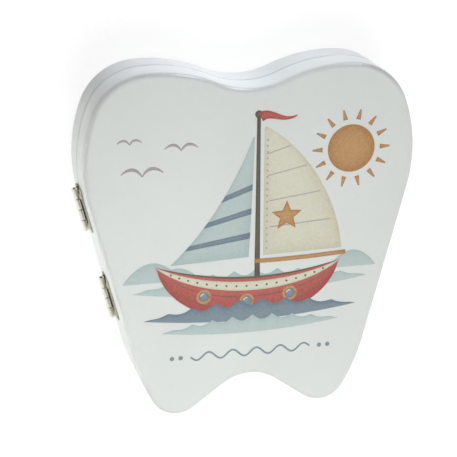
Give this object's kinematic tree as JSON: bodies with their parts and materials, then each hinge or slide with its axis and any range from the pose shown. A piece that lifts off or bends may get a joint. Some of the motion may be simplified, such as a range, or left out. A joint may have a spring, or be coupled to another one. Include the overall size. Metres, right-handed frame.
{
  "type": "tooth keepsake box",
  "caption": "Molar-shaped lacquered wooden box for milk teeth, with a pocketed base, a keepsake well and a flat lid on small side hinges, held shut by magnets.",
  "frame": {"origin": "on the back face, under the middle of the box's outline", "axes": "+Z out of the lid's front face, +Y to the crown, +X to the right seen from the front; the box lies on its back"},
  "size_m": [0.1145, 0.12, 0.0243],
  "materials": {
    "white_lacquer": "satin white lacquer on fibreboard",
    "hinge_metal": "pale warm nickel plating, dulled",
    "nail_metal": "plated nail",
    "magnet_plating": "bright nickel plating"
  },
  "bodies": {
    "base": {"back_panel": "white_lacquer", "pocket_board": "white_lacquer", "upper_hinge_pin": "hinge_metal", "upper_base_leaf": "hinge_metal", "upper_base_nail_crown": "nail_metal", "upper_base_nail_root": "nail_metal", "upper_base_magnet": "magnet_plating", "lower_hinge_pin": "hinge_metal", "lower_base_leaf": "hinge_metal", "lower_base_nail_crown": "nail_metal", "lower_base_nail_root": "nail_metal", "lower_base_magnet": "magnet_plating"},
    "lid": {"lid_core": "white_lacquer", "lid_panel": "white_lacquer", "upper_lid_leaf": "hinge_metal", "upper_lid_nail_crown": "nail_metal", "upper_lid_nail_root": "nail_metal", "upper_lid_magnet": "magnet_plating", "lower_lid_leaf": "hinge_metal", "lower_lid_nail_crown": "nail_metal", "lower_lid_nail_root": "nail_metal", "lower_lid_magnet": "magnet_plating"}
  },
  "joints": [
    {"name": "lid_hinge", "type": "hinge", "parent": "base", "child": "lid", "pos_m": [-0.04717, -0.01929, 0.01215], "axis": [0.2503, -0.9682, 0], "range_deg": [0, 180]}
  ]
}
